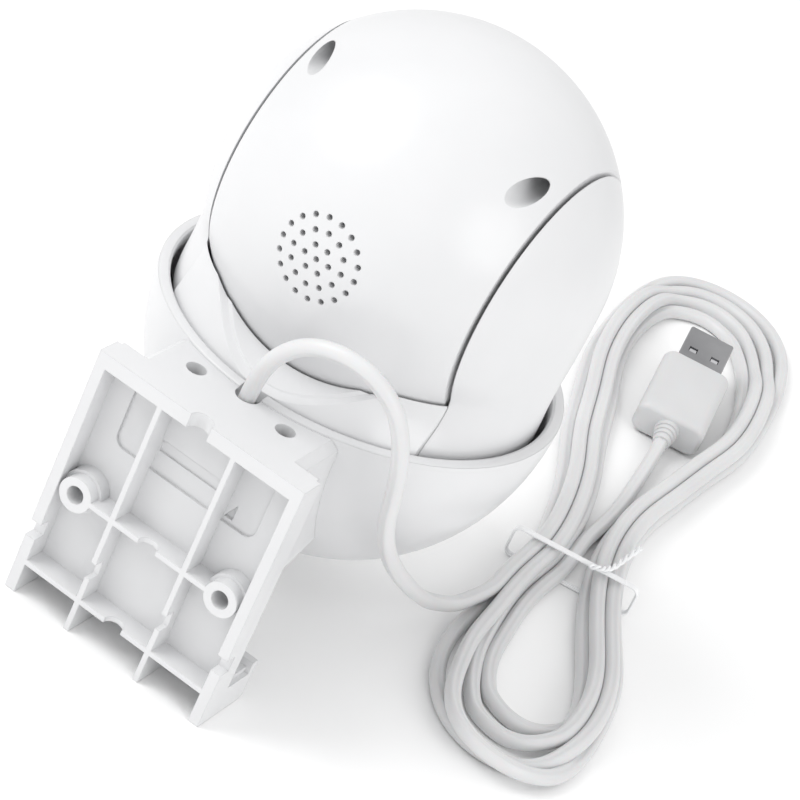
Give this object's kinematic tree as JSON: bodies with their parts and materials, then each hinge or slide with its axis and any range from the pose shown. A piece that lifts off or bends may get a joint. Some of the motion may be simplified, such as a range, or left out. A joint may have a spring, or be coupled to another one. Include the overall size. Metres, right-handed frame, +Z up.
{
  "type": "baby monitor camera",
  "caption": "Pan and tilt baby monitor camera: ball head between yoke arms on a round cup, held by a wall bracket, with its USB lead tied in a hank.",
  "frame": {"origin": "on the wall plane, midway between the two wall screw holes of the bracket", "axes": "+Z up, the wall faces -Y and the lens looks along -Y, +X to the lens's right hand side seen from the wall's left"},
  "size_m": [0.126, 0.291, 0.1275],
  "materials": {
    "white_plastic": "satin white ABS",
    "inner_plastic": "natural moulded nylon",
    "cord_jacket": "soft white PVC",
    "tie_plastic": "thin white plastic over wire",
    "screw_steel": "zinc-plated steel",
    "motor_steel": "drawn steel can",
    "plug_steel": "nickel-plated steel",
    "gear_brass": "machined brass",
    "window_black": "tinted acrylic, gloss black",
    "black_plastic": "moulded black",
    "lens_metal": "turned ring",
    "lens_glass": "coated glass",
    "board_green": "solder mask over glass-fibre board",
    "board_cans": "tinned shield cans",
    "lamp_tint": "tinted lamp lens",
    "foot_rubber": "grey rubber",
    "gasket_foam": "closed-cell foam"
  },
  "bodies": {
    "base": {"wall_bracket": "white_plastic", "bracket_screws": "screw_steel", "base_cup": "white_plastic", "bottom_cover": "white_plastic", "bottom_screws": "screw_steel", "foot_pad": "foot_rubber", "motor_deck": "inner_plastic", "deck_screws": "screw_steel", "pan_motor": "motor_steel", "pan_motor_screws": "screw_steel", "pan_bush": "gear_brass", "main_board": "board_green", "board_parts": "board_cans", "power_socket": "inner_plastic", "reset_switch": "black_plastic", "cord_grommet": "cord_jacket", "inner_lead": "cord_jacket", "cord_lead": "cord_jacket", "cord_bundle": "cord_jacket", "twist_tie": "tie_plastic", "plug_lead": "cord_jacket", "plug_relief": "cord_jacket", "plug_body": "white_plastic", "usb_shell": "plug_steel", "usb_tongue": "black_plastic"},
    "yoke": {"turntable": "white_plastic", "hub_retainer": "screw_steel", "pan_gear": "inner_plastic", "collar": "white_plastic", "arm_cover_left": "white_plastic", "arm_cover_right": "white_plastic", "arm_screws": "screw_steel", "tilt_gear": "inner_plastic", "pivot_screws": "screw_steel"},
    "head": {"tilt_bushes": "gear_brass", "head_shell": "white_plastic", "front_bezel": "white_plastic", "front_window": "window_black", "lens_ring": "lens_metal", "lens_barrel": "black_plastic", "lens_glass": "lens_glass", "head_chassis": "inner_plastic", "head_screws": "screw_steel", "image_board": "board_green", "ir_board": "board_green", "ir_leds": "lamp_tint", "sensor_parts": "inner_plastic", "speaker": "black_plastic", "speaker_gasket": "gasket_foam", "tilt_motor": "motor_steel", "tilt_motor_screws": "screw_steel", "wifi_antenna": "gear_brass"},
    "pan_pinion_shaft": {"pan_pinion": "gear_brass"},
    "tilt_pinion_shaft": {"tilt_pinion": "gear_brass"},
    "reset_push": {"reset_button": "inner_plastic"}
  },
  "joints": [
    {"name": "pan", "type": "hinge", "parent": "base", "child": "yoke", "pos_m": [0, -0.061, 0.031], "axis": [0, 0, 1], "range_deg": [-175, 175]},
    {"name": "tilt", "type": "hinge", "parent": "yoke", "child": "head", "pos_m": [0, -0.061, 0.059], "axis": [-1, 0, 0], "range_deg": [-30, 60]},
    {"name": "pan_motor_turn", "type": "hinge", "parent": "base", "child": "pan_pinion_shaft", "pos_m": [0, -0.082, 0.031], "axis": [0, 0, 1], "range_deg": [-530, 530]},
    {"name": "tilt_motor_turn", "type": "hinge", "parent": "head", "child": "tilt_pinion_shaft", "pos_m": [-0.0246, -0.061, 0.0755], "axis": [-1, 0, 0], "range_deg": [-85, 165]},
    {"name": "reset_press", "type": "slide", "parent": "base", "child": "reset_push", "axis": [0, 0, 1], "range_m": [0, 0.0006], "stiffness_N_per_m": 400, "springref_m": -0.0002}
  ],
  "couplings": [
    {"joint": "pan_motor_turn", "follows": "pan", "ratio": -3},
    {"joint": "tilt_motor_turn", "follows": "tilt", "ratio": 2.6667}
  ]
}
